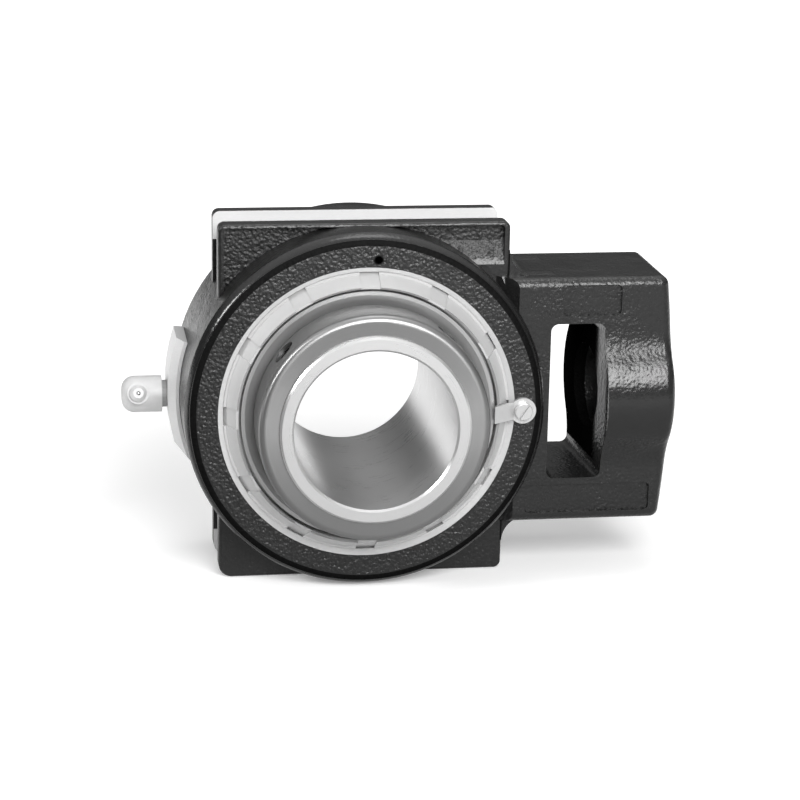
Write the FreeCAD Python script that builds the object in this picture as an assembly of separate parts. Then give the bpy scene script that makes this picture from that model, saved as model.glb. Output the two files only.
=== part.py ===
import FreeCAD, Part
import math
import os
from FreeCAD import Vector

os.makedirs("parts", exist_ok=True)

# Take-up bearing unit: a cast housing that slides between two guide rails and holds a double-row
# tapered roller bearing. Millimetres. The origin is on the bore axis, midway between the guide
# grooves' walls. Y runs along the bore, away from the collar side; X runs towards the screw end; Z is up.

# Shaft fit and inner ring
bore_r = 30.96
sleeve_wall = 5.34
sleeve_front_reach = 2.0
sleeve_rear_reach = 7.6
sleeve_edge_chamfer = 0.8

# Rollers and raceways
roller_count = 16
roller_mid_d = 10.5
roller_length = 14.0
roller_axis_deg = 14.0
roller_gap = 0.15
race_wall = 1.25
row_half_space = 3.5
rib_gap = 0.3
rib_setback = 1.3
small_rib_height = 1.6
small_rib_width = 2.2

# Cups
cup_wall = 6.55
cup_inner_y = 1.6
cup_end_reach = 2.0
cup_edge_chamfer = 1.0

# Cages
cage_wall = 2.0
cage_pocket_gap = 0.2
cage_end_band = 2.0

# Adjusting cover
cover_thread_height = 0.8
cover_wall = 5.5
cover_nose_step = 1.0
cover_body_length = 13.1
cover_nose_length = 5.9
cover_bevel = 0.9
notch_count = 12
notch_width = 7.4
notch_depth = 0.8

# Seals and flingers
seal_seat_height = 1.3
seal_width = 6.0
seal_back_chamfer = 1.0
seal_case_wall = 1.2
seal_case_height = 5.7
lip_width = 3.2
lip_gap = 0.3
lip_bond = 4.0
lip_edge = 1.2
flinger_gap = 1.0
flinger_wall = 1.2
flinger_depth = 3.2
flinger_dish = 1.6
flinger_clear = 1.0
flinger_flat_height = 6.9
flinger_rim = 1.4
rear_flinger_sink = 0.3

# Locking collar and its set screws
collar_wall = 7.9
collar_width = 18.3
collar_gap = 1.2
collar_front_round = 2.8
collar_rear_chamfer = 0.65
set_screw_r = 4.76
set_screw_inset = 10.8
set_screw_angles = {"set_screw_upper": 50.0, "set_screw_lower": 140.0}
set_screw_sink = 1.0
set_screw_point = 1.2
set_screw_tip_gap = 0.4
socket_across = 4.76
socket_depth = 5.0
sleeve_hole_extra = 0.5

# Housing hub
hub_wall = 14.6
hub_front_reach = 1.4
hub_rear_depth = 11.0
hub_front_round = 5.0
hub_rear_round = 3.0
mouth_chamfer = 2.0
mouth_chamfer_depth = 1.8
rear_mouth_chamfer = 1.5

# Guide flanges and grooves
flange_left_reach = 55.8
flange_right_reach = 57.2
flange_rise = 0.8
flange_outer_y = 17.1
groove_half_width = 9.65
groove_depth = 11.0
flange_corner = 2.8
flange_low_corner = 5.0
flange_edge_round = 1.2
pocket_top_rim = 1.4
pocket_side_rim = 2.2
pocket_depth = 3.4
pocket_corner = 1.5
pocket_slope_z = 54.0
pocket_slope_rise = 9.0

# Screw end with the nut window
end_half_height = 49.4
end_half_depth = 24.5
end_wall = 29.0
end_bulge = 3.0
end_edge_round = 3.5
end_root_round = 10.0
end_ramp_setback = 5.2
end_ramp_length = 8.0
window_setback = 3.0
window_width = 20.4
window_half_height = 31.4
window_corner = 3.0
window_draft_deg = 3.0
screw_hole_r = 17.0
boss_r = 30.0
boss_centre_y = 3.0
boss_root_round = 20.0
name_pad_left = 4.5
name_pad_length = 23.2
name_pad_height = 12.2
size_pad_left = -8.5
size_pad_length = 50.5
size_pad_height = 11.6
name_pad_space = 3.2
size_pad_space = 2.6
pad_depth = 1.3
pad_corner = 2.0

# Grease pad on the hub's left side and its fitting
pad_rise = 4.5
pad_from_deg = 162.0
pad_to_deg = 204.0
pad_run_out_deg = 9.0
pad_front_y = -4.0
pad_rear_y = 21.0
pad_bevel = 3.0
pad_root = 8.0
grease_hole_r = 2.0
fitting_thread_r = 4.9
fitting_y = 6.0
fitting_z = -1.25
fitting_sink = 7.0
fitting_neck_r = 5.3
fitting_neck_length = 2.0
fitting_body_r = 7.2
fitting_body_length = 15.7
fitting_body_round = 5.0
fitting_tilt_deg = 17.0
nozzle_inset = 6.2
nozzle_r = 4.2
nozzle_length = 5.0
nozzle_button_r = 3.3
nozzle_button_length = 3.2
nozzle_waist_r = 2.4
nozzle_tip_r = 2.0
nozzle_inlet_r = 0.8
nozzle_inlet_depth = 1.2
nozzle_way_r = 1.2
ball_r = 1.5
ball_seat_gap = 0.05
ball_bore_gap = 0.15
spring_wire_r = 0.25
spring_side_gap = 0.05
spring_length = 4.0
spring_turns = 4

# Lock clip and its screw
clip_wall = 1.5
clip_lug_r = 5.1
clip_lug_offset = 3.1
clip_tab_width = 6.8
clip_tip_reach = 1.5
clip_seat_gap = 0.05
clip_tab_gap = 0.2
clip_bend_back = 0.5
clip_screw_r = 2.4
clip_screw_length = 9.0
clip_head_r = 3.5
clip_head_height = 1.8
clip_head_round = 0.5
clip_slot_width = 1.0
clip_slot_depth = 0.9
clip_slot_deg = 56.0

# Fits
thread_gap = 0.05
seat_gap = 0.02
screw_gap = 0.05

# Reach of cutting shapes past the surface that they cut, and the play in choosing edges
cut_margin = 10.0
touch = 0.001

AXIS_X = Vector(1, 0, 0)
AXIS_Y = Vector(0, 1, 0)
AXIS_Z = Vector(0, 0, 1)
ORIGIN = Vector(0, 0, 0)


def polygon_face(points):
    closed = list(points) + [points[0]]
    return Part.Face(Part.makePolygon(closed))


def turned(profile):
    """Solid turned about the bore axis from (radius, y) points."""
    return polygon_face([Vector(r, y, 0) for r, y in profile]).revolve(ORIGIN, AXIS_Y, 360)


def outline(points, radii):
    """Closed wire in the X-Z plane through (x, z) points, with each corner rounded by its radius."""
    count = len(points)
    edges = []
    starts = []
    ends = []
    arcs = []
    for i in range(count):
        here = Vector(points[i][0], 0, points[i][1])
        before = Vector(points[i - 1][0], 0, points[i - 1][1])
        after = Vector(points[(i + 1) % count][0], 0, points[(i + 1) % count][1])
        to_before = (before - here).normalize()
        to_after = (after - here).normalize()
        half = to_before.getAngle(to_after) / 2
        if radii[i] > 0:
            reach = radii[i] / math.tan(half)
            middle = (to_before + to_after).normalize()
            centre = here + middle * (radii[i] / math.sin(half))
            starts.append(here + to_before * reach)
            ends.append(here + to_after * reach)
            arcs.append(Part.Arc(starts[-1], centre - middle * radii[i], ends[-1]).toShape())
        else:
            starts.append(here)
            ends.append(here)
            arcs.append(None)
    for i in range(count):
        if arcs[i]:
            edges.append(arcs[i])
        edges.append(Part.LineSegment(ends[i], starts[(i + 1) % count]).toShape())
    return Part.Wire(edges)


def slab(wire, y_from, y_to):
    face = Part.Face(wire)
    face.translate(Vector(0, y_from, 0))
    return face.extrude(Vector(0, y_to - y_from, 0))


def round_edges(solid, radius, chosen):
    """Fillet of the edges for which chosen(edge) is true."""
    edges = [edge for edge in solid.Edges if chosen(edge)]
    return solid.makeFillet(radius, edges)


def in_plane_y(edge, y):
    return abs(edge.BoundBox.YMin - y) < touch and abs(edge.BoundBox.YMax - y) < touch


def rod(radius, length, start, direction):
    return Part.makeCylinder(radius, length, start, direction)


def about_y(shape, degrees):
    """Copy turned about the bore axis; a positive angle goes from X towards Z."""
    copy = shape.copy()
    copy.rotate(ORIGIN, AXIS_Y, -degrees)
    return copy


def mirrored(shape):
    return shape.mirror(ORIGIN, AXIS_Y)


def radial(degrees):
    return Vector(math.cos(math.radians(degrees)), 0, math.sin(math.radians(degrees)))


# Radii worked out from the bore outwards
sleeve_r = bore_r + sleeve_wall
pitch_r = sleeve_r + race_wall + roller_mid_d / 2
centre_rib_r = pitch_r - rib_setback
cup_r = pitch_r + roller_mid_d / 2 + cup_wall
cover_thread_r = cup_r + cover_thread_height
cover_nose_r = cover_thread_r - cover_nose_step
cover_bore_r = cover_thread_r - cover_wall
seal_seat_r = cover_bore_r + seal_seat_height
seal_case_inner_r = sleeve_r + seal_case_height
flinger_flat_r = sleeve_r + flinger_flat_height
collar_r = sleeve_r + collar_wall
mouth_chamfer_r = cover_thread_r + mouth_chamfer
hub_r = cover_thread_r + hub_wall
pad_r = hub_r + pad_rise
clip_lug_x = mouth_chamfer_r + clip_lug_offset
clip_tip_r = cover_bore_r - clip_tip_reach

# Places along the bore, from the rollers outwards
row_offset_y = row_half_space + roller_length / 2
cup_outer_y = row_offset_y + roller_length / 2 + cup_end_reach
cover_shoulder_y = -cup_outer_y - cover_body_length
cover_nose_y = cover_shoulder_y - cover_nose_length
hub_front_y = cover_shoulder_y - hub_front_reach
hub_rear_y = cup_outer_y + hub_rear_depth
mouth_chamfer_y = hub_front_y + mouth_chamfer_depth
seal_front_y = cover_shoulder_y
seal_rear_y = hub_rear_y - rear_flinger_sink - flinger_depth - flinger_clear
front_flinger_y = seal_front_y - flinger_clear - flinger_depth
collar_rear_y = front_flinger_y - collar_gap
collar_front_y = collar_rear_y - collar_width
set_screw_y = collar_front_y + set_screw_inset
sleeve_front_y = collar_front_y - sleeve_front_reach
sleeve_rear_y = hub_rear_y + sleeve_rear_reach

# Places on the housing in the X-Z plane
flange_left_x = -flange_left_reach
flange_right_x = flange_right_reach
flange_half_height = hub_r + flange_rise
groove_floor_z = flange_half_height - groove_depth
window_left_x = hub_r + window_setback
window_right_x = window_left_x + window_width
end_x = window_right_x + end_wall
boss_half_depth = boss_centre_y + boss_r

# Directions of the rollers and of the grease nozzle
axis_tilt = math.radians(roller_axis_deg)
apex_distance = pitch_r / math.sin(axis_tilt)
roller_half_cone = math.atan(roller_mid_d / 2 / apex_distance)
roller_mid = Vector(pitch_r, row_offset_y, 0)
roller_axis = Vector(-math.sin(axis_tilt), math.cos(axis_tilt), 0)
roller_normal = Vector(math.cos(axis_tilt), math.sin(axis_tilt), 0)
nozzle_tilt = math.radians(fitting_tilt_deg)
nozzle_direction = Vector(0, -math.cos(nozzle_tilt), math.sin(nozzle_tilt))


def roller_point(along, side, gap):
    """(radius, y) of a point on the roller's side in its axial plane; side is +1 outside, -1 inside."""
    radius = roller_mid_d / 2 - along * math.tan(roller_half_cone) + gap
    point = roller_mid + roller_axis * along + roller_normal * (side * radius)
    return point.x, point.y


def on_line(first, second, y):
    """(radius, y) on the straight line through two (radius, y) points."""
    share = (y - first[1]) / (second[1] - first[1])
    return first[0] + share * (second[0] - first[0]), y


def make_roller():
    half = roller_length / 2
    big = roller_mid_d / 2 + half * math.tan(roller_half_cone)
    small = roller_mid_d / 2 - half * math.tan(roller_half_cone)
    return Part.makeCone(big, small, roller_length, roller_mid - roller_axis * half, roller_axis)


def make_cup():
    half = roller_length / 2
    inner_start = roller_point(-half, 1, roller_gap)
    inner_end = roller_point(half, 1, roller_gap)
    return turned([
        on_line(inner_start, inner_end, cup_inner_y),
        (cup_r, cup_inner_y),
        (cup_r, cup_outer_y - cup_edge_chamfer),
        (cup_r - cup_edge_chamfer, cup_outer_y),
        on_line(inner_start, inner_end, cup_outer_y),
    ])


def make_inner_ring():
    half = roller_length / 2
    big_end = roller_point(-half, -1, roller_gap)
    small_end = roller_point(half, -1, roller_gap)
    rib_half = big_end[1] - rib_gap
    race_end_y = roller_point(half, -1, 0)[1] + rib_gap + small_rib_height * math.tan(axis_tilt)
    race_start = on_line(big_end, small_end, rib_half)
    race_end = on_line(big_end, small_end, race_end_y)
    rib_r = race_end[0] + small_rib_height
    half_profile = [
        (centre_rib_r, rib_half),
        race_start,
        race_end,
        (rib_r, race_end_y),
        (rib_r, race_end_y + small_rib_width),
        (sleeve_r, race_end_y + small_rib_width),
    ]
    front = [(r, -y) for r, y in half_profile]
    c = sleeve_edge_chamfer
    profile = [(bore_r, sleeve_front_y + c), (bore_r + c, sleeve_front_y), (sleeve_r - c, sleeve_front_y),
               (sleeve_r, sleeve_front_y + c)]
    profile += front[::-1]
    profile += half_profile
    profile += [(sleeve_r, sleeve_rear_y - c), (sleeve_r - c, sleeve_rear_y), (bore_r + c, sleeve_rear_y),
                (bore_r, sleeve_rear_y - c)]
    ring = turned(profile)
    for degrees in set_screw_angles.values():
        start = Vector(0, set_screw_y, 0)
        ring = ring.cut(rod(set_screw_r + sleeve_hole_extra, sleeve_r + cut_margin, start, radial(degrees)))
    return ring


def make_cage():
    half = roller_length / 2
    reach = half + cage_end_band + cage_pocket_gap
    corners = []
    for along, side in ((-reach, -1), (-reach, 1), (reach, 1), (reach, -1)):
        point = roller_mid + roller_axis * along + roller_normal * (side * cage_wall / 2)
        corners.append((point.x, point.y))
    cage = turned(corners)
    big = roller_mid_d / 2 + half * math.tan(roller_half_cone) + cage_pocket_gap
    small = roller_mid_d / 2 - half * math.tan(roller_half_cone) + cage_pocket_gap
    start = roller_mid - roller_axis * (half + cage_pocket_gap)
    pocket = Part.makeCone(big, small, roller_length + 2 * cage_pocket_gap, start, roller_axis)
    pockets = [about_y(pocket, 360 * i / roller_count) for i in range(roller_count)]
    return cage.cut(pockets)


def make_cover():
    c = cover_bevel
    cone_rise = (cover_nose_r - cover_bore_r - c) / (cover_shoulder_y - cover_nose_y)
    cover = turned([
        (cover_bore_r, cover_nose_y + c),
        (cover_bore_r + c, cover_nose_y),
        (cover_nose_r, cover_shoulder_y),
        (cover_thread_r, cover_shoulder_y),
        (cover_thread_r, -cup_outer_y),
        (cover_bore_r, -cup_outer_y),
        (cover_bore_r, seal_front_y + seal_width + seal_back_chamfer),
        (seal_seat_r, seal_front_y + seal_width),
        (seal_seat_r, seal_front_y),
        (cover_bore_r, seal_front_y),
    ])
    outer = cover_thread_r + cover_nose_step
    inner = cover_bore_r - cut_margin
    floor_y = cover_nose_y + notch_depth
    sloped = turned([
        (inner, cover_nose_y - cut_margin),
        (inner, floor_y),
        (cover_bore_r + c, floor_y),
        (outer, floor_y + (outer - cover_bore_r - c) / cone_rise),
        (outer, cover_nose_y - cut_margin),
    ])
    bar = Part.makeBox(outer, 3 * cut_margin, notch_width,
                       Vector(0, cover_nose_y - cut_margin, -notch_width / 2))
    notch = sloped.common(bar)
    return cover.cut([about_y(notch, 360 * i / notch_count) for i in range(notch_count)])


def make_seal_case(front_y, seat_r):
    """Steel cup pressed in its seat, open towards +Y, with its washer face at front_y."""
    w = seal_case_wall
    return turned([
        (seal_case_inner_r, front_y),
        (seat_r - seat_gap, front_y),
        (seat_r - seat_gap, front_y + seal_width),
        (seat_r - seat_gap - w, front_y + seal_width),
        (seat_r - seat_gap - w, front_y + w),
        (seal_case_inner_r, front_y + w),
    ])


def make_seal_lip(front_y):
    """Rubber lip behind the case's washer, sloping in to the inner ring."""
    inner = sleeve_r + lip_gap
    outer = seal_case_inner_r + lip_bond
    back_y = front_y + seal_case_wall
    return turned([
        (outer, back_y),
        (outer, back_y + lip_width),
        (seal_case_inner_r - lip_edge, back_y + lip_width),
        (inner + lip_edge, back_y + lip_width + lip_edge),
        (inner, back_y + lip_width),
        (seal_case_inner_r - lip_edge, back_y),
    ])


def make_flinger(front_y):
    """Dished washer on the inner ring, with its rolled edge towards +Y, facing -Y."""
    outer = cover_bore_r - flinger_gap
    w = flinger_wall
    return turned([
        (sleeve_r, front_y + flinger_dish),
        (flinger_flat_r, front_y + flinger_dish),
        (outer - flinger_rim, front_y),
        (outer, front_y),
        (outer, front_y + flinger_depth),
        (outer - w, front_y + flinger_depth),
        (outer - w, front_y + w),
        (outer - flinger_rim, front_y + w),
        (flinger_flat_r, front_y + flinger_dish + w),
        (sleeve_r, front_y + flinger_dish + w),
    ])


def make_collar():
    c = collar_rear_chamfer
    inner = sleeve_r + seat_gap
    collar = turned([
        (inner, collar_front_y),
        (collar_r, collar_front_y),
        (collar_r, collar_rear_y - c),
        (collar_r - c, collar_rear_y),
        (inner, collar_rear_y),
    ])
    collar = round_edges(collar, collar_front_round, lambda edge: in_plane_y(edge, collar_front_y)
                         and edge.BoundBox.XLength > sleeve_r + collar_r)
    for degrees in set_screw_angles.values():
        start = Vector(0, set_screw_y, 0)
        collar = collar.cut(rod(set_screw_r + screw_gap, collar_r + cut_margin, start, radial(degrees)))
    return collar


def make_set_screw(degrees):
    tip_r = bore_r + set_screw_tip_gap
    top_r = collar_r - set_screw_sink
    p = set_screw_point
    screw = Part.makeCone(set_screw_r - p, set_screw_r, p, Vector(tip_r, 0, 0), AXIS_X)
    screw = screw.fuse(rod(set_screw_r, top_r - tip_r - p, Vector(tip_r + p, 0, 0), AXIS_X))
    corners = []
    for i in range(6):
        angle = math.radians(60 * i)
        reach = socket_across / 2 / math.cos(math.radians(30))
        corners.append(Vector(top_r - socket_depth, reach * math.cos(angle), reach * math.sin(angle)))
    socket = polygon_face(corners).extrude(Vector(socket_depth + cut_margin, 0, 0))
    screw = screw.cut(socket).removeSplitter()
    screw.translate(Vector(0, set_screw_y, 0))
    return about_y(screw, degrees)


def make_hub():
    def arc(centre_r, centre_y, radius, from_deg, to_deg):
        mid_deg = (from_deg + to_deg) / 2
        points = []
        for degrees in (from_deg, mid_deg, to_deg):
            angle = math.radians(degrees)
            points.append(Vector(centre_r + radius * math.cos(angle), centre_y + radius * math.sin(angle), 0))
        return Part.Arc(*points).toShape()

    a = hub_front_round
    b = hub_rear_round
    corners = [Vector(0, hub_front_y, 0), Vector(hub_r - a, hub_front_y, 0), Vector(hub_r, hub_front_y + a, 0),
               Vector(hub_r, hub_rear_y - b, 0), Vector(hub_r - b, hub_rear_y, 0), Vector(0, hub_rear_y, 0)]
    edges = [
        Part.LineSegment(corners[0], corners[1]).toShape(),
        arc(hub_r - a, hub_front_y + a, a, -90, 0),
        Part.LineSegment(corners[2], corners[3]).toShape(),
        arc(hub_r - b, hub_rear_y - b, b, 0, 90),
        Part.LineSegment(corners[4], corners[5]).toShape(),
        Part.LineSegment(corners[5], corners[0]).toShape(),
    ]
    return Part.Face(Part.Wire(edges)).revolve(ORIGIN, AXIS_Y, 360)


def make_hub_bore():
    """Everything that is machined out of the hub about the bore axis."""
    thread_r = cover_thread_r + thread_gap
    flare = (mouth_chamfer_r - thread_r) / (mouth_chamfer_y - hub_front_y)
    cup_seat_r = cup_r + seat_gap
    m = rear_mouth_chamfer
    return turned([
        (0, hub_front_y - cut_margin),
        (mouth_chamfer_r + flare * cut_margin, hub_front_y - cut_margin),
        (thread_r, mouth_chamfer_y),
        (thread_r, -cup_outer_y),
        (cup_seat_r, -cup_outer_y),
        (cup_seat_r, cup_outer_y),
        (cover_bore_r, cup_outer_y),
        (cover_bore_r, seal_rear_y - seal_width),
        (seal_seat_r, seal_rear_y - seal_width),
        (seal_seat_r, seal_rear_y),
        (cover_bore_r, seal_rear_y),
        (cover_bore_r, hub_rear_y - m),
        (cover_bore_r + m + cut_margin, hub_rear_y + cut_margin),
        (0, hub_rear_y + cut_margin),
    ])


def make_flange(y_groove, y_face):
    """One guide flange between its groove wall and its outer face."""
    h = flange_half_height
    wire = outline([(flange_left_x, -h), (flange_right_x, -h), (flange_right_x, h), (flange_left_x, h)],
                   [flange_low_corner] + [flange_corner] * 3)
    plate = slab(wire, y_groove, y_face)
    return round_edges(plate, flange_edge_round, lambda edge: in_plane_y(edge, y_face))


def make_pockets(y_face, inward):
    """Shallow recesses in the flange's upper corners, with floors that run out downwards on the right."""
    h = flange_half_height - pocket_top_rim
    left = flange_left_x + pocket_side_rim
    right = flange_right_x - pocket_side_rim
    wire = outline([(left, 0), (right, 0), (right, h), (left, h)], [pocket_corner] * 4)
    plate = slab(wire, y_face - cut_margin * inward, y_face + pocket_depth * inward)
    keep = rod(hub_r, 2 * cut_margin, Vector(0, y_face - cut_margin, 0), AXIS_Y)
    slope = pocket_slope_rise / pocket_depth
    front_z = pocket_slope_z - slope * cut_margin
    back_z = pocket_slope_z + slope * cut_margin
    run_out = polygon_face([
        Vector(0, y_face - cut_margin * inward, 0),
        Vector(0, y_face - cut_margin * inward, front_z),
        Vector(0, y_face + cut_margin * inward, back_z),
        Vector(0, y_face + cut_margin * inward, 0),
    ]).extrude(Vector(end_x, 0, 0))
    return plate.cut([keep, run_out])


def make_screw_end():
    """Block round the window with its boss, cut off by the end's curved face and rounded along its edges."""
    h = end_half_height
    ramp_left = flange_right_x - end_ramp_setback
    ramp_right = ramp_left + end_ramp_length
    plan = [(0, flange_outer_y), (ramp_left, flange_outer_y)]
    plan += [(ramp_right, end_half_depth), (end_x, end_half_depth)]
    plan += [(x, -y) for x, y in reversed(plan)]
    block = polygon_face([Vector(x, y, -h) for x, y in plan]).extrude(Vector(0, 0, 2 * h))
    d = boss_half_depth + cut_margin
    low = Vector(end_x - end_bulge, -d, -h)
    high = Vector(end_x - end_bulge, -d, h)
    face = Part.Face(Part.Wire([
        Part.Arc(low, Vector(end_x, -d, 0), high).toShape(),
        Part.LineSegment(high, Vector(0, -d, h)).toShape(),
        Part.LineSegment(Vector(0, -d, h), Vector(0, -d, -h)).toShape(),
        Part.LineSegment(Vector(0, -d, -h), low).toShape(),
    ]))
    envelope = face.extrude(Vector(0, 2 * d, 0))
    body = block.fuse(make_boss()).common(envelope).removeSplitter()

    def is_outer(edge):
        box = edge.BoundBox
        runs_out = box.YLength < touch and box.ZLength < touch and box.XMax > ramp_right + touch
        return runs_out or box.XMin > end_x - end_bulge - touch

    return round_edges(body, end_edge_round, is_outer)


def make_boss():
    """Rounded boss round the screw hole, which runs out into the block's faces by hollow fillets."""
    left_x = window_right_x - math.tan(math.radians(window_draft_deg)) * boss_half_depth
    reach = boss_r + boss_root_round
    rise = end_half_depth + boss_root_round - boss_centre_y
    root_z = math.sqrt(reach ** 2 - rise ** 2)
    share = boss_r / reach
    touch_y = rise * share + boss_centre_y
    touch_z = root_z * share
    half = math.atan2(root_z, rise) / 2
    fillet_y = end_half_depth + boss_root_round * (1 - math.cos(half))
    fillet_z = root_z - boss_root_round * math.sin(half)

    def at(y, z):
        return Vector(left_x, y, z)

    def half_outline(side):
        return [
            Part.Arc(at(side * end_half_depth, root_z), at(side * fillet_y, fillet_z),
                     at(side * touch_y, touch_z)).toShape(),
            Part.Arc(at(side * touch_y, touch_z), at(side * boss_half_depth, 0),
                     at(side * touch_y, -touch_z)).toShape(),
            Part.Arc(at(side * touch_y, -touch_z), at(side * fillet_y, -fillet_z),
                     at(side * end_half_depth, -root_z)).toShape(),
        ]

    across = Part.LineSegment(at(end_half_depth, -root_z), at(-end_half_depth, -root_z)).toShape()
    back = Part.LineSegment(at(-end_half_depth, root_z), at(end_half_depth, root_z)).toShape()
    edges = half_outline(1) + [across] + half_outline(-1)[::-1] + [back]
    face = Part.Face(Part.Wire(Part.__sortEdges__(edges)))
    return face.extrude(Vector(end_x - left_x, 0, 0))


def make_window():
    """The nut window, whose outer wall leans so that the window is wider in front."""
    d = boss_half_depth + cut_margin
    lean = math.tan(math.radians(window_draft_deg)) * d
    prism = polygon_face([
        Vector(window_left_x, -d, -window_half_height),
        Vector(window_right_x + lean, -d, -window_half_height),
        Vector(window_right_x - lean, d, -window_half_height),
        Vector(window_left_x, d, -window_half_height),
    ]).extrude(Vector(0, 0, 2 * window_half_height))
    return round_edges(prism, window_corner, lambda edge: edge.BoundBox.YLength > d)


def make_root_fillets():
    """Rounded inside corners where the screw end leaves the flanges."""
    r = end_root_round
    pieces = []
    for side in (1, -1):
        z = side * end_half_height
        corner = Vector(flange_right_x, -flange_outer_y, min(z, z + side * r))
        block = Part.makeBox(r, 2 * flange_outer_y, r, corner)
        start = Vector(flange_right_x + r, -flange_outer_y - cut_margin, z + side * r)
        hole = rod(r, 2 * (flange_outer_y + cut_margin), start, AXIS_Y)
        pieces.append(block.cut(hole))
    return pieces


def make_grease_pad():
    root = hub_r - pad_root
    b = pad_bevel
    section = polygon_face([
        Vector(root, pad_front_y, 0),
        Vector(pad_r - b, pad_front_y, 0),
        Vector(pad_r, pad_front_y + b, 0),
        Vector(pad_r, pad_rear_y - b, 0),
        Vector(pad_r - b, pad_rear_y, 0),
        Vector(root, pad_rear_y, 0),
    ])
    solid = section.revolve(ORIGIN, AXIS_Y, -(pad_to_deg - pad_from_deg))
    pad = about_y(solid, pad_from_deg)
    top = radial(pad_to_deg - pad_run_out_deg) * pad_r
    foot = radial(pad_to_deg) * hub_r
    outward = (top - foot).normalize()
    away = Vector(outward.z, 0, -outward.x)
    if away.dot(foot) < 0:
        away = away * -1
    corners = [foot - outward * cut_margin, top + outward * cut_margin]
    corners += [corner + away * cut_margin for corner in reversed(corners)]
    beyond = polygon_face(corners).extrude(Vector(0, 2 * (pad_rear_y - pad_front_y), 0))
    beyond.translate(Vector(0, pad_front_y - (pad_rear_y - pad_front_y) / 2, 0))
    return pad.cut(beyond)


def pad_recess(left, low, length, height):
    """Shallow rounded recess in the screw end's front face."""
    wire = outline([(left, low), (left + length, low), (left + length, low + height), (left, low + height)],
                   [pad_corner] * 4)
    return slab(wire, -end_half_depth - cut_margin, -end_half_depth + pad_depth)


def make_housing():
    core_left = flange_left_x + flange_corner
    core_half = (groove_half_width + flange_outer_y) / 2
    core = Part.makeBox(flange_right_x - flange_corner - core_left, 2 * core_half, 2 * groove_floor_z,
                        Vector(core_left, -core_half, -groove_floor_z))
    body = make_hub().fuse([
        core,
        make_flange(-groove_half_width, -flange_outer_y),
        make_flange(groove_half_width, flange_outer_y),
        make_screw_end(),
        make_grease_pad(),
    ] + make_root_fillets())

    reach = 2 * end_x
    grooves = []
    for low_z in (groove_floor_z, -groove_floor_z - reach):
        corner = Vector(-end_x, -groove_half_width, low_z)
        grooves.append(Part.makeBox(reach, 2 * groove_half_width, reach, corner))
    screw_hole = rod(screw_hole_r, end_x, Vector(window_right_x - cut_margin, 0, 0), AXIS_X)
    root_x = fitting_sink - pad_r
    away = Vector(-1, 0, 0)
    fitting_hole = rod(fitting_thread_r + screw_gap, fitting_sink + cut_margin,
                       Vector(root_x, fitting_y, fitting_z), away)
    way_x = grease_hole_r - cup_r
    grease_way = rod(grease_hole_r, way_x - root_x, Vector(way_x, 0, fitting_z), away)
    cross_way = rod(grease_hole_r, fitting_y, Vector(root_x + grease_hole_r, 0, fitting_z), AXIS_Y)
    clip_hole = rod(clip_screw_r + screw_gap, clip_screw_length + cut_margin,
                    Vector(clip_lug_x, hub_front_y - cut_margin, 0), AXIS_Y)
    cuts = [make_hub_bore(), make_window(), screw_hole, grease_way, fitting_hole, cross_way, clip_hole,
            make_pockets(-flange_outer_y, 1),
            make_pockets(flange_outer_y, -1),
            pad_recess(window_left_x + name_pad_left, window_half_height + name_pad_space,
                       name_pad_length, name_pad_height),
            pad_recess(window_left_x + size_pad_left, -window_half_height - size_pad_space - size_pad_height,
                       size_pad_length, size_pad_height)]
    return body.cut(grooves + cuts).removeSplitter()


def make_fitting():
    """Right-angle grease fitting: threaded root, neck, elbow body and a nozzle tilted up from -Y."""
    root_x = fitting_sink - pad_r
    at = Vector(0, fitting_y, fitting_z)
    away = Vector(-1, 0, 0)
    front = nozzle_direction
    thread = rod(fitting_thread_r, fitting_sink, Vector(root_x, 0, 0) + at, away)
    neck = rod(fitting_neck_r, fitting_neck_length, Vector(-pad_r, 0, 0) + at, away)
    body_x = -pad_r - fitting_neck_length
    body = rod(fitting_body_r, fitting_body_length, Vector(body_x, 0, 0) + at, away)
    body_end_x = body_x - fitting_body_length
    body = round_edges(body, fitting_body_round, lambda edge: edge.BoundBox.XMax < body_end_x + touch)
    base = Vector(body_end_x + nozzle_inset, 0, 0) + at
    stem_length = fitting_body_r + nozzle_length - nozzle_button_length
    stem = rod(nozzle_r, stem_length, base, front)
    half = nozzle_button_length / 2
    button_start = base + front * stem_length
    button = Part.makeCone(nozzle_waist_r, nozzle_button_r, half, button_start, front)
    crown = Part.makeCone(nozzle_button_r, nozzle_tip_r, half, button_start + front * half, front)
    fitting = thread.fuse([neck, body, stem, button, crown]).removeSplitter()
    tip = button_start + front * nozzle_button_length
    chamber_top = tip - front * nozzle_inlet_depth
    chamber_depth = 2 * ball_r + 3 * ball_seat_gap + spring_length
    inlet = rod(nozzle_inlet_r, nozzle_button_length, chamber_top, front)
    chamber = rod(ball_r + ball_bore_gap, chamber_depth, chamber_top, front * -1)
    passage = rod(nozzle_way_r, -base.x, base, AXIS_X)
    feed = rod(nozzle_way_r, fitting_body_r, base, front)
    return fitting.cut([inlet, chamber, passage, feed]), chamber_top


def make_check_parts(chamber_top):
    back = nozzle_direction * -1
    ball_centre = chamber_top + back * (ball_r + ball_seat_gap)
    ball = Part.makeSphere(ball_r, ball_centre)
    spring_top = ball_centre + back * (ball_r + ball_seat_gap)
    mean_r = ball_r - spring_wire_r - spring_side_gap
    height = spring_length - 2 * spring_wire_r
    wire = Part.Wire(Part.makeHelix(height / spring_turns, height, mean_r).Edges)
    section = Part.Wire(Part.makeCircle(spring_wire_r, Vector(mean_r, 0, 0), AXIS_Y))
    spring = wire.makePipeShell([section], True, True)
    spring.rotate(ORIGIN, AXIS_X, -90 - fitting_tilt_deg)
    spring.translate(spring_top + back * spring_wire_r)
    return ball, spring


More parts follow.
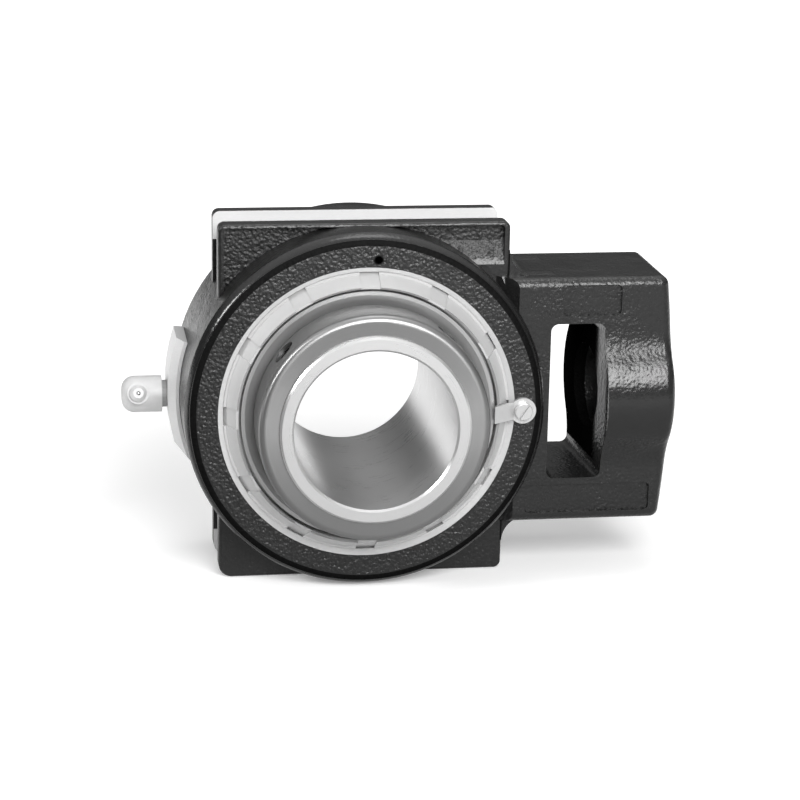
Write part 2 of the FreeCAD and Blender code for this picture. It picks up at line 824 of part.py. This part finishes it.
def make_clip():
    """Bent strip: round lug on the hub's face, then a tab that lies in one notch of the cover."""
    back = hub_front_y - clip_seat_gap
    bend_r = mouth_chamfer_r - clip_bend_back
    nose_r = cover_bore_r + cover_bevel
    nose_y = cover_nose_y + notch_depth - clip_tab_gap
    slope = (nose_y - back) / (bend_r - nose_r)
    tip_y = back + slope * (bend_r - clip_tip_r)
    lift = Vector(0, -clip_wall, 0)
    path = [Vector(clip_lug_x, back, 0), Vector(bend_r, back, 0), Vector(clip_tip_r, tip_y, 0)]
    profile = path + [p + lift for p in reversed(path)]
    strip = polygon_face(profile).extrude(Vector(0, 0, clip_tab_width))
    strip.translate(Vector(0, 0, -clip_tab_width / 2))
    lug = rod(clip_lug_r, clip_wall, Vector(clip_lug_x, back, 0), Vector(0, -1, 0))
    hole = rod(clip_screw_r + screw_gap, 4 * clip_wall, Vector(clip_lug_x, back - 2 * clip_wall, 0), AXIS_Y)
    return strip.fuse(lug).removeSplitter().cut(hole)


def make_clip_screw():
    seat_y = hub_front_y - clip_seat_gap - clip_wall
    front = Vector(0, -1, 0)
    centre = Vector(clip_lug_x, seat_y, 0)
    head = rod(clip_head_r, clip_head_height, centre, front)
    head = round_edges(head, clip_head_round, lambda edge: in_plane_y(edge, seat_y - clip_head_height))
    shank = rod(clip_screw_r, clip_screw_length, centre, AXIS_Y)
    slot = Part.makeBox(2 * cut_margin, clip_slot_depth + cut_margin, clip_slot_width,
                        Vector(-cut_margin, -clip_slot_depth - cut_margin, -clip_slot_width / 2))
    slot.rotate(ORIGIN, AXIS_Y, -clip_slot_deg)
    slot.translate(centre + Vector(0, -clip_head_height + clip_slot_depth, 0))
    return head.fuse(shank).removeSplitter().cut(slot)


def build():
    nodes = {"housing": make_housing()}
    cup = make_cup()
    cage = make_cage()
    roller = make_roller()
    nodes["rear_cup"] = cup
    nodes["front_cup"] = mirrored(cup)
    nodes["inner_ring"] = make_inner_ring()
    nodes["rear_cage"] = cage
    nodes["front_cage"] = mirrored(cage)
    for i in range(roller_count):
        turned_roller = about_y(roller, 360 * i / roller_count)
        nodes["rear_roller_%02d" % (i + 1)] = turned_roller
        nodes["front_roller_%02d" % (i + 1)] = mirrored(turned_roller)
    nodes["adjusting_cover"] = make_cover()
    nodes["front_seal_case"] = make_seal_case(seal_front_y, seal_seat_r)
    nodes["front_seal_lip"] = make_seal_lip(seal_front_y)
    nodes["rear_seal_case"] = mirrored(make_seal_case(-seal_rear_y, seal_seat_r))
    nodes["rear_seal_lip"] = mirrored(make_seal_lip(-seal_rear_y))
    nodes["front_flinger"] = make_flinger(front_flinger_y)
    nodes["rear_flinger"] = mirrored(make_flinger(-seal_rear_y - flinger_clear - flinger_depth))
    nodes["locking_collar"] = make_collar()
    for name, degrees in set_screw_angles.items():
        nodes[name] = make_set_screw(degrees)
    nodes["lock_clip"] = make_clip()
    nodes["clip_screw"] = make_clip_screw()
    nodes["grease_fitting"], chamber_top = make_fitting()
    nodes["check_ball"], nodes["check_spring"] = make_check_parts(chamber_top)
    return nodes


for name, shape in build().items():
    shape.exportStep("parts/%s.step" % name)
    print(name, len(shape.Solids), round(shape.Volume, 1), shape.isValid())
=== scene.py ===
"""Looks for the take-up bearing unit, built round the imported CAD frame. Metres, in the row frame:
the bore's axis is Y, the screw end points to +X, and Z is up."""

import math

import bpy
from mathutils import Matrix, Vector


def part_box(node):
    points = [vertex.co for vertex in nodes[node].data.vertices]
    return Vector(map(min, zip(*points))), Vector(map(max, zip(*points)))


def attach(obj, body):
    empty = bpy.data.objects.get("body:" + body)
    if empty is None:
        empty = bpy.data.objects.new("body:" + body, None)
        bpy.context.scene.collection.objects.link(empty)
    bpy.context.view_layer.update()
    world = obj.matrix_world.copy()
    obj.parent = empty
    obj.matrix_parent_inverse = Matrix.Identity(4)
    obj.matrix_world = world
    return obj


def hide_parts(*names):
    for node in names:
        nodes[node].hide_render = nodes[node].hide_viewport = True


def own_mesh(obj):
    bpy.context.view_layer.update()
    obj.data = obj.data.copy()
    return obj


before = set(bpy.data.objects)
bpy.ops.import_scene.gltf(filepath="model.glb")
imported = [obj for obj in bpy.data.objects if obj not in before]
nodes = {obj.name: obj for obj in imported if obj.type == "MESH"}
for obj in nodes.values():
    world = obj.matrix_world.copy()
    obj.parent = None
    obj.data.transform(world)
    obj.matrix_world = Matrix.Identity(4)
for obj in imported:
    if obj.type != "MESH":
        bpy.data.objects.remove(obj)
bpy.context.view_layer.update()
housing_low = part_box("housing")[0]
cover_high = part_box("adjusting_cover")[1]
MM = 0.001
WHITE = (1.0, 1.0, 1.0, 1.0)

# Camera, fitted to the photograph: angles in degrees, distance and shift in metres, lens in millimetres
VIEW_YAW = 9.08
VIEW_PITCH = 16.07
VIEW_ROLL = 1.10
VIEW_DISTANCE = 0.95213
VIEW_SHIFT = (0.01759, -0.00410)
VIEW_LENS = 108.0
SENSOR_WIDTH = 36.0
CLIP_START = 0.01

# Lamps: name, place, disk's size and power in watts; all are aimed at the middle of the unit
LAMP_AIM = (0.03, 0.0, 0.0)
LAMPS = (
    ("front_lamp", (0.15, -0.85, 0.5), 0.6, 11.0),
    ("key_lamp", (-0.85, -0.35, 0.5), 0.25, 4.0),
    ("top_lamp", (0.1, 0.1, 0.95), 0.45, 1.5),
)

# World: levels, where 1 is white, and the ranges of direction over which gloss sees them
SEEN_LEVEL = 1.0
SOFT_LEVEL = 0.4
DIM_LEVEL = 0.08
AHEAD_LEVEL = 0.28
OVERHEAD_Z = (0.3, 0.8)
AHEAD_Y = (0.3, -0.3)
BESIDE_X = (-0.8, -0.2)

# Floor: it glows more the farther it is from the unit, and gloss sees it darker in front and at the left
FLOOR_SIZE = 12.0
FLOOR_DROP = 0.2 * MM
FLOOR_SHADE = 0.9
FLOOR_FADE = (0.12, 0.55)
FLOOR_LIFT = (0.2, 0.8)
DARK_SHADE = 0.05
DARK_Y = (0.05, -0.05)
DARK_X = (0.0, -0.2)
DARK_SHARE = (0.62, 1.0)

# Housing: the places that look different from the plain casting
EDGE = 0.06 * MM
HUB_FRONT_Y = housing_low[1]
HUB_R = 70.0 * MM
MOUTH_R = cover_high[0] + 2.0 * MM
GROOVE_HALF = 9.65 * MM
GROOVE_FLOOR = 59.8 * MM
PAD_X = -60.0 * MM
PAD_HALF = 32.0 * MM
FRONT_DEPTH = (2.0 * MM, 1.0 * MM)
CORNER_DEPTH = (6.0 * MM, 3.0 * MM)
PITTED_R = (57.6 * MM, 65.5 * MM)
# Painted shade: a band round the hub's rounded edge is made nearly black and reflects next to nothing
PAINTED_SHADE_RIM_R = (65.7 * MM, 67.9 * MM)
GLOSSY_R = (68.0 * MM, 68.2 * MM)
POCKET_DEPTH = (16.6 * MM, 15.9 * MM)
POCKET_FLOOR = (GROOVE_HALF, GROOVE_HALF + 1.0 * MM)
POCKET_END_X = (76.0 * MM, 75.0 * MM)
# Painted shade: the inside of the nut window, made black more and more deeply in from its opening
WINDOW_X = (71.5 * MM, 97.0 * MM)
WINDOW_HALF = (28.0 * MM, 27.0 * MM)
WINDOW_Y = (-20.0 * MM, -11.0 * MM)
# A dent in the hub's face whose darkness is painted shade: near black and reflecting next to nothing
DIMPLE_X = 3.4 * MM
DIMPLE_Z = 60.2 * MM
DIMPLE_R = (1.9 * MM, 1.14 * MM)

# Grease fitting: the span along X of its neck, which is painted with shade
NECK_X = (-76.6 * MM, -74.4 * MM)


def grey(value):
    return (value, value, value, 1.0)


class Graph:
    """A node tree and the sums that the looks are made of."""

    def __init__(self, tree, place):
        self.tree = tree
        self.tree.nodes.clear()
        self.place = self.add("ShaderNodeTexCoord").outputs[place]
        split = self.add("ShaderNodeSeparateXYZ")
        self.link(self.place, split.inputs[0])
        self.x, self.y, self.z = split.outputs

    def add(self, kind, **settings):
        node = self.tree.nodes.new(kind)
        for key, value in settings.items():
            setattr(node, key, value)
        return node

    def link(self, source, target):
        self.tree.links.new(source, target)

    def give(self, target, value):
        if isinstance(value, bpy.types.NodeSocket):
            self.link(value, target)
        else:
            target.default_value = value

    def math(self, operation, *values):
        node = self.add("ShaderNodeMath", operation=operation)
        for target, value in zip(node.inputs, values):
            self.give(target, value)
        return node.outputs[0]

    def plus(self, first, second):
        return self.math("ADD", first, second)

    def minus(self, first, second):
        return self.math("SUBTRACT", first, second)

    def times(self, first, *others):
        for other in others:
            first = self.math("MULTIPLY", first, other)
        return first

    def most(self, first, *others):
        for other in others:
            first = self.math("MAXIMUM", first, other)
        return first

    def distance(self, first, second):
        return self.math("SQRT", self.plus(self.times(first, first), self.times(second, second)))

    def step(self, value, limits):
        """0 at the first limit, 1 at the second, with a straight ramp between."""
        node = self.add("ShaderNodeMapRange", clamp=True)
        self.give(node.inputs["Value"], value)
        node.inputs["From Min"].default_value, node.inputs["From Max"].default_value = limits
        return node.outputs[0]

    def spread(self, value, low, high):
        """Takes a 0 to 1 value to the range low to high."""
        node = self.add("ShaderNodeMapRange", clamp=True)
        self.give(node.inputs["Value"], value)
        node.inputs["To Min"].default_value = low
        node.inputs["To Max"].default_value = high
        return node.outputs[0]

    def below(self, value, limit):
        return self.step(value, (limit + EDGE, limit))

    def between(self, value, limits):
        low, high = limits
        return self.times(self.step(value, (low - EDGE, low)), self.below(value, high))

    def mix(self, factor, first, second):
        node = self.add("ShaderNodeMix", data_type="FLOAT")
        self.give(node.inputs[0], factor)
        self.give(node.inputs[2], first)
        self.give(node.inputs[3], second)
        return node.outputs[0]

    def blend(self, factor, first, second):
        node = self.add("ShaderNodeMix", data_type="RGBA")
        self.give(node.inputs[0], factor)
        self.give(node.inputs[6], first)
        self.give(node.inputs[7], second)
        return node.outputs[2]

    def rays(self):
        """1 for the camera's rays, and 1 for the rays by which gloss and glass see the surroundings."""
        path = self.add("ShaderNodeLightPath").outputs
        return path["Is Camera Ray"], self.most(path["Is Glossy Ray"], path["Is Transmission Ray"])


class Material(Graph):
    """One material's node tree, with its Principled shader."""

    def __init__(self, name):
        self.material = bpy.data.materials.new(name)
        self.material.use_nodes = True
        super().__init__(self.material.node_tree, "Object")
        output = self.add("ShaderNodeOutputMaterial")
        self.shader = self.add("ShaderNodeBsdfPrincipled")
        self.link(self.shader.outputs["BSDF"], output.inputs["Surface"])

    def set(self, **values):
        """Gives the shader's sockets a number, a colour or another node's result."""
        for name, value in values.items():
            self.give(self.shader.inputs[name.replace("_", " ")], value)

    def noise(self, scale, detail, roughness=0.5, stretch=None):
        node = self.add("ShaderNodeTexNoise")
        node.inputs["Scale"].default_value = scale
        node.inputs["Detail"].default_value = detail
        node.inputs["Roughness"].default_value = roughness
        place = self.place
        if stretch:
            mapping = self.add("ShaderNodeMapping")
            mapping.inputs["Scale"].default_value = stretch
            self.link(place, mapping.inputs["Vector"])
            place = mapping.outputs[0]
        self.link(place, node.inputs["Vector"])
        return node.outputs["Fac"]

    def turning_marks(self, across, around):
        """Noise that runs round the bore's axis, as a turning tool's marks do."""
        join = self.add("ShaderNodeCombineXYZ")
        self.give(join.inputs[0], self.times(self.distance(self.x, self.z), across))
        self.give(join.inputs[1], self.times(self.y, across))
        self.give(join.inputs[2], self.times(self.math("ARCTAN2", self.z, self.x), around))
        node = self.add("ShaderNodeTexNoise")
        node.inputs["Scale"].default_value = 1.0
        node.inputs["Detail"].default_value = 2.0
        self.link(join.outputs[0], node.inputs["Vector"])
        return node.outputs["Fac"]

    def pebbles(self, scale):
        node = self.add("ShaderNodeTexVoronoi", feature="SMOOTH_F1")
        node.inputs["Scale"].default_value = scale
        self.link(self.place, node.inputs["Vector"])
        return node.outputs["Distance"]

    def bump(self, height, depth):
        """Surface relief; depth is the height in metres of a 0 to 1 value."""
        node = self.add("ShaderNodeBump")
        node.inputs["Strength"].default_value = 1.0
        node.inputs["Distance"].default_value = depth
        self.give(node.inputs["Height"], height)
        self.link(node.outputs[0], self.shader.inputs["Normal"])


def bare_places(g, radius, height, depth):
    """The guide grooves, the bearing's mouth and the grease pad, which are machined and unpainted."""
    groove = g.times(g.step(height, (GROOVE_FLOOR - EDGE, GROOVE_FLOOR)), g.below(depth, GROOVE_HALF + EDGE))
    mouth = g.below(radius, MOUTH_R)
    beyond_hub = g.step(radius, (HUB_R + EDGE, HUB_R + 3 * EDGE))
    pad = g.times(beyond_hub, g.step(g.x, (PAD_X, PAD_X - EDGE)), g.below(height, PAD_HALF))
    return g.most(groove, mouth, pad)


def painted_places(g, radius, height, depth):
    """The flange pockets, the hub face's pits and glossy edge, and painted shade at its edge band, dimple
    and nut window.
    """
    front = g.step(g.y, tuple(HUB_FRONT_Y + d for d in FRONT_DEPTH))
    corner = g.step(g.y, tuple(HUB_FRONT_Y + d for d in CORNER_DEPTH))
    beyond_hub = g.step(radius, (HUB_R - EDGE, HUB_R + EDGE))
    apart = g.distance(g.minus(g.x, DIMPLE_X), g.minus(g.z, DIMPLE_Z))
    return {
        "pocket": g.times(g.step(depth, POCKET_DEPTH), beyond_hub, g.step(depth, POCKET_FLOOR),
                          g.step(g.x, POCKET_END_X)),
        "pitted": g.times(g.between(radius, PITTED_R), front),
        "painted_shade_rim": g.times(g.between(radius, PAINTED_SHADE_RIM_R), corner),
        "glossy": g.times(g.step(radius, GLOSSY_R), corner),
        "window": g.times(g.between(g.x, WINDOW_X), g.step(height, WINDOW_HALF), g.step(g.y, WINDOW_Y)),
        "dimple": g.times(g.step(apart, DIMPLE_R), front),
    }


def casting():
    """Gloss black enamel over a rough casting, with the machined faces left bare."""
    g = Material("black_casting")
    where = (g.distance(g.x, g.z), g.math("ABSOLUTE", g.z), g.math("ABSOLUTE", g.y))
    bare = bare_places(g, *where)
    place = painted_places(g, *where)

    grain = g.noise(scale=900.0, detail=3.0, roughness=0.6)
    lumps = g.noise(scale=480.0, detail=2.0)
    waves = g.noise(scale=70.0, detail=2.0)
    marks = g.noise(scale=500.0, detail=3.0, stretch=(1.0, 1.0, 8.0))
    patches = g.step(g.noise(scale=45.0, detail=2.0, roughness=0.6), (0.42, 0.62))
    rough = g.most(place["pitted"], place["pocket"], g.times(patches, 0.55))
    # Painted shade: the hub's edge band, the nut window's inside and the dimple are made black, fully
    # metallic and with no specular tint, so they reflect next to nothing
    black = g.most(g.times(place["painted_shade_rim"], 0.85), place["window"], place["dimple"])
    dull = g.most(black, g.times(place["pocket"], 0.5))

    smooth_relief = g.plus(waves, g.times(lumps, 0.13))
    rough_relief = g.plus(g.times(g.pebbles(scale=780.0), 0.9), g.times(grain, 0.7))
    relief = g.plus(smooth_relief, g.times(rough_relief, g.spread(rough, 0.3, 1.0)))
    relief = g.minus(relief, g.times(place["dimple"], 3.0))
    relief = g.times(relief, g.spread(place["glossy"], 1.0, 0.3))
    g.bump(g.mix(bare, relief, g.times(marks, 0.05)), depth=0.5 * MM)

    # The casting's enamel is near black, and darker still in the dimple as painted shade
    enamel = g.blend(place["dimple"], g.blend(grain, grey(0.005), grey(0.013)), grey(0.001))
    steel = g.blend(marks, grey(0.6), grey(0.7))
    paint = g.mix(rough, g.spread(lumps, 0.24, 0.34), g.spread(grain, 0.25, 0.4))
    paint = g.mix(place["glossy"], g.most(paint, g.times(dull, 0.8)), 0.2)
    g.set(Base_Color=g.blend(bare, enamel, steel), Metallic=g.most(g.times(bare, 0.35), black),
          Specular_Tint=g.blend(black, WHITE, grey(0.0)), Roughness=g.mix(bare, paint, 0.4),
          IOR=1.5, Specular_IOR_Level=0.55)
    return g.material


def turned_metal(name, light, rough, metallic=1.0, anisotropy=0.0):
    """Metal with the fine ring marks of a turned or ground face."""
    g = Material(name)
    marks = g.turning_marks(across=3500.0, around=2.0)
    smudge = g.noise(scale=60.0, detail=3.0, roughness=0.6)
    shade = g.plus(g.times(marks, 0.5), g.times(smudge, 0.5))
    g.set(Base_Color=g.blend(shade, grey(light * 0.84), grey(light)), Metallic=metallic,
          Roughness=g.spread(shade, rough * 0.8, rough * 1.25))
    g.bump(marks, depth=0.01 * MM)
    if anisotropy:
        tangent = g.add("ShaderNodeTangent", direction_type="RADIAL", axis="Y")
        g.set(Anisotropic=anisotropy, Tangent=tangent.outputs[0])
    return g.material


def plated(name, light, rough, metallic=1.0, painted_neck_shade=None):
    """Plated steel with a faint cloudy grain; a grease fitting's neck gets painted shade, a darker grey than
    its body.
    """
    g = Material(name)
    cloud = g.noise(scale=180.0, detail=4.0, roughness=0.6)
    grain = g.noise(scale=2600.0, detail=2.0)
    colour = g.blend(cloud, grey(light * 0.8), grey(light))
    if painted_neck_shade:
        # Painted shade: the fitting's neck groove is given a darker grey
        colour = g.blend(g.between(g.x, NECK_X), colour, grey(painted_neck_shade))
    g.set(Base_Color=colour, Metallic=metallic, Roughness=g.spread(cloud, rough * 0.8, rough * 1.3))
    g.bump(grain, depth=0.02 * MM)
    return g.material


def rubber():
    g = Material("seal_rubber")
    grain = g.noise(scale=1800.0, detail=2.0)
    g.set(Base_Color=g.blend(grain, grey(0.015), grey(0.03)), Roughness=g.spread(grain, 0.5, 0.7))
    g.bump(grain, depth=0.03 * MM)
    return g.material


def dress(material, *names):
    for name in names:
        mesh = nodes[name].data
        mesh.materials.clear()
        mesh.materials.append(material)


def dress_nodes():
    rollers = ["%s_roller_%02d" % (side, i + 1) for side in ("front", "rear") for i in range(16)]
    dress(casting(), "housing")
    dress(turned_metal("ground_ring_steel", light=0.7, rough=0.28, metallic=0.8), "inner_ring")
    dress(turned_metal("dark_collar_steel", light=0.3, rough=0.36, metallic=0.9, anisotropy=0.6),
          "locking_collar")
    dress(turned_metal("zinc_cover", light=0.5, rough=0.5, metallic=0.3), "adjusting_cover")
    dress(turned_metal("bright_flinger_steel", light=0.46, rough=0.34, metallic=0.7),
          "front_flinger", "rear_flinger", "front_seal_case", "rear_seal_case")
    dress(turned_metal("bearing_steel", light=0.6, rough=0.2),
          "front_cup", "rear_cup", "check_ball", "check_spring", *rollers)
    dress(plated("cage_steel", light=0.4, rough=0.35), "front_cage", "rear_cage")
    dress(plated("zinc_plate", light=0.7, rough=0.3, metallic=0.7), "lock_clip", "clip_screw")
    dress(plated("fitting_plate", light=0.56, rough=0.5, metallic=0.15, painted_neck_shade=0.3), "grease_fitting")
    dress(plated("black_oxide", light=0.06, rough=0.4), "set_screw_upper", "set_screw_lower")
    dress(rubber(), "front_seal_lip", "rear_seal_lip")


def make_spring():
    """A copy of the check ball's spring with its own mesh, carried by the housing; nothing here shortens it
    as the ball is pressed in.
    """
    solid = nodes["check_spring"]
    spring = bpy.data.objects.new("check_spring_coil", solid.data.copy())
    spring.matrix_world = solid.matrix_world.copy()
    bpy.context.scene.collection.objects.link(spring)
    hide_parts("check_spring")
    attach(spring, "housing")
    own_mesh(spring)


def make_world():
    """White to the camera; gloss sees white above, a third of it in front, little behind and at the left."""
    world = bpy.data.worlds.new("studio")
    bpy.context.scene.world = world
    world.use_nodes = True
    g = Graph(world.node_tree, "Generated")
    output = g.add("ShaderNodeOutputWorld")
    shader = g.add("ShaderNodeBackground")
    front = g.times(g.step(g.y, AHEAD_Y), g.step(g.x, BESIDE_X))
    glow = g.most(g.step(g.z, OVERHEAD_Z), g.spread(front, 0.0, AHEAD_LEVEL))
    camera, glossy = g.rays()
    soft = g.mix(glossy, SOFT_LEVEL, g.spread(glow, DIM_LEVEL, SEEN_LEVEL))
    g.give(shader.inputs["Strength"], g.mix(camera, soft, SEEN_LEVEL))
    g.give(shader.inputs["Color"], WHITE)
    g.link(shader.outputs[0], output.inputs["Surface"])


def make_floor():
    """Pale floor that turns to plain white away from the unit; gloss sees its front part darkened."""
    bpy.ops.mesh.primitive_plane_add(size=FLOOR_SIZE, location=(0, 0, housing_low[2] - FLOOR_DROP))
    floor = bpy.context.object
    floor.name = "floor"
    g = Material("floor_white")
    camera, glossy = g.rays()
    lift = g.spread(g.step(g.distance(g.x, g.y), FLOOR_FADE), *FLOOR_LIFT)
    dark = g.times(glossy, g.step(g.y, DARK_Y), g.spread(g.step(g.x, DARK_X), *DARK_SHARE))
    g.set(Base_Color=g.blend(dark, grey(FLOOR_SHADE), grey(DARK_SHADE)), Roughness=0.9,
          Specular_IOR_Level=0.2, Emission_Color=WHITE,
          Emission_Strength=g.times(g.most(camera, glossy), lift, g.minus(1.0, dark)))
    floor.data.materials.append(g.material)


def make_lamp(name, place, size, power):
    data = bpy.data.lights.new(name, "AREA")
    data.shape = "DISK"
    data.size = size
    data.energy = power
    lamp = bpy.data.objects.new(name, data)
    bpy.context.scene.collection.objects.link(lamp)
    lamp.location = place
    lamp.rotation_euler = (Vector(LAMP_AIM) - Vector(place)).to_track_quat("-Z", "Y").to_euler()


def make_camera():
    yaw, pitch, roll = (math.radians(a) for a in (VIEW_YAW, VIEW_PITCH, VIEW_ROLL))
    back = Vector((-math.sin(yaw) * math.cos(pitch), -math.cos(yaw) * math.cos(pitch), math.sin(pitch)))
    right = Vector((math.cos(yaw), -math.sin(yaw), 0))
    up = Vector((math.sin(yaw) * math.sin(pitch), math.cos(yaw) * math.sin(pitch), math.cos(pitch)))
    across = right * math.cos(roll) + up * math.sin(roll)
    upward = up * math.cos(roll) - right * math.sin(roll)
    place = back * VIEW_DISTANCE + across * VIEW_SHIFT[0] + upward * VIEW_SHIFT[1]
    data = bpy.data.cameras.new("camera")
    data.lens = VIEW_LENS
    data.sensor_width = SENSOR_WIDTH
    data.clip_start = CLIP_START
    camera = bpy.data.objects.new("camera", data)
    bpy.context.scene.collection.objects.link(camera)
    turn = Matrix((across, upward, back)).transposed()
    camera.matrix_world = Matrix.Translation(place) @ turn.to_4x4()
    bpy.context.scene.camera = camera


make_camera()
make_world()
make_floor()
for lamp in LAMPS:
    make_lamp(*lamp)
dress_nodes()
make_spring()
bpy.context.scene.view_settings.view_transform = "Standard"
